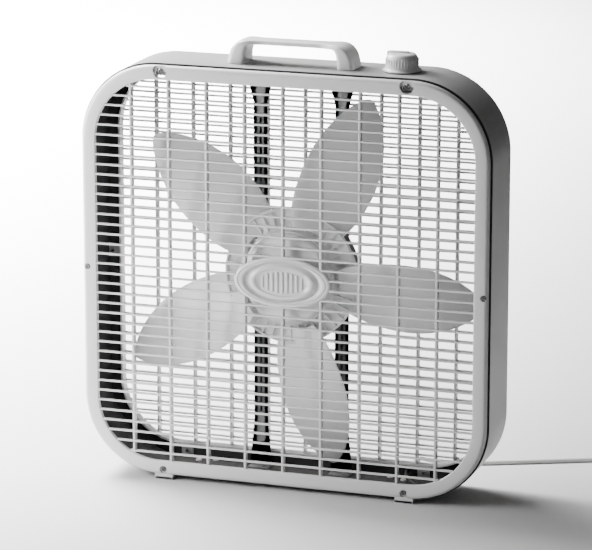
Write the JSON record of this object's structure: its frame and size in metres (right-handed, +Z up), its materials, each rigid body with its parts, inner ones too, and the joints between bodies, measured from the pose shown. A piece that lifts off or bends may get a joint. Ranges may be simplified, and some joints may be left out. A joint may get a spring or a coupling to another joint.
{
  "type": "box fan",
  "caption": "Square box fan with slatted front and rear panels, a steel housing band, a carrying handle, a rotary speed knob and a leaf-bladed rotor on a strap-mounted motor.",
  "frame": {"origin": "on the floor, under the middle of the housing (bottom centre of the fan without its cord)", "axes": "+X to the right seen from the front, +Y from the front grille to the rear grille, +Z up"},
  "size_m": [0.7121, 0.2724, 0.565],
  "materials": {
    "panel_plastic": "light grey moulded polypropylene, satin with a faint orange peel",
    "badge": "satin grey badge with raised rings",
    "painted_band": "light grey baked enamel on rolled steel",
    "fan_plastic": "mid grey moulded plastic, slightly glossy",
    "strap_paint": "black painted steel",
    "motor_steel": "zinc plated pressed steel",
    "winding": "enamelled copper wire",
    "bearing_bronze": "sintered bronze",
    "fastener_steel": "zinc plated steel",
    "handle_plastic": "light grey moulded plastic",
    "foot_plastic": "off-white moulded plastic",
    "switch_black": "black phenolic",
    "cord_jacket": "light grey vinyl jacket",
    "lead_jacket": "black vinyl",
    "plug_brass": "bright brass"
  },
  "bodies": {
    "root": {"front_bezel": "panel_plastic", "front_grille_bars": "panel_plastic", "front_grille_ribs": "panel_plastic", "rear_bezel": "panel_plastic", "rear_grille_bars": "panel_plastic", "rear_grille_ribs": "panel_plastic", "badge_plate": "badge", "steel_band": "painted_band", "motor_strap_left": "strap_paint", "motor_strap_right": "strap_paint", "motor_mount_plate": "strap_paint", "motor_front_shell": "motor_steel", "motor_rear_shell": "motor_steel", "stator_core": "motor_steel", "stator_winding_front": "winding", "stator_winding_rear": "winding", "front_bearing": "bearing_bronze", "rear_bearing": "bearing_bronze", "switch_nut": "fastener_steel", "handle_screw_left": "fastener_steel", "handle_screw_right": "fastener_steel", "front_screw_top_left": "fastener_steel", "front_screw_top_right": "fastener_steel", "front_screw_middle_left": "fastener_steel", "front_screw_middle_right": "fastener_steel", "front_screw_bottom_left": "fastener_steel", "front_screw_bottom_right": "fastener_steel", "rear_screw_top_left": "fastener_steel", "rear_screw_top_right": "fastener_steel", "rear_screw_middle_left": "fastener_steel", "rear_screw_middle_right": "fastener_steel", "rear_screw_bottom_left": "fastener_steel", "rear_screw_bottom_right": "fastener_steel", "motor_screw_left": "fastener_steel", "motor_screw_right": "fastener_steel", "mount_screw_lower_left": "fastener_steel", "mount_screw_lower_right": "fastener_steel", "mount_screw_upper_left": "fastener_steel", "mount_screw_upper_right": "fastener_steel", "handle": "handle_plastic", "band_foot_left": "foot_plastic", "band_foot_right": "foot_plastic", "switch_body": "switch_black", "strain_relief": "cord_jacket", "cord": "cord_jacket", "cord_coil": "cord_jacket", "cord_tail": "cord_jacket", "plug_body": "cord_jacket", "supply_lead": "lead_jacket", "motor_lead": "lead_jacket", "cord_tie": "lead_jacket", "plug_blade_left": "plug_brass", "plug_blade_right": "plug_brass"},
    "rotor": {"fan_blade": "fan_plastic", "motor_shaft": "fastener_steel", "rotor_core": "motor_steel", "blade_clip": "fastener_steel"},
    "knob": {"switch_knob": "handle_plastic", "switch_shaft": "fastener_steel"}
  },
  "joints": [
    {"name": "blade_spin", "type": "hinge", "parent": "root", "child": "rotor", "pos_m": [0, 0, 0.27], "axis": [0, 1, 0], "continuous": true},
    {"name": "knob_turn", "type": "hinge", "parent": "root", "child": "knob", "pos_m": [0.138, 0, 0.548], "axis": [0, 0, 1], "range_deg": [0, 135]}
  ]
}
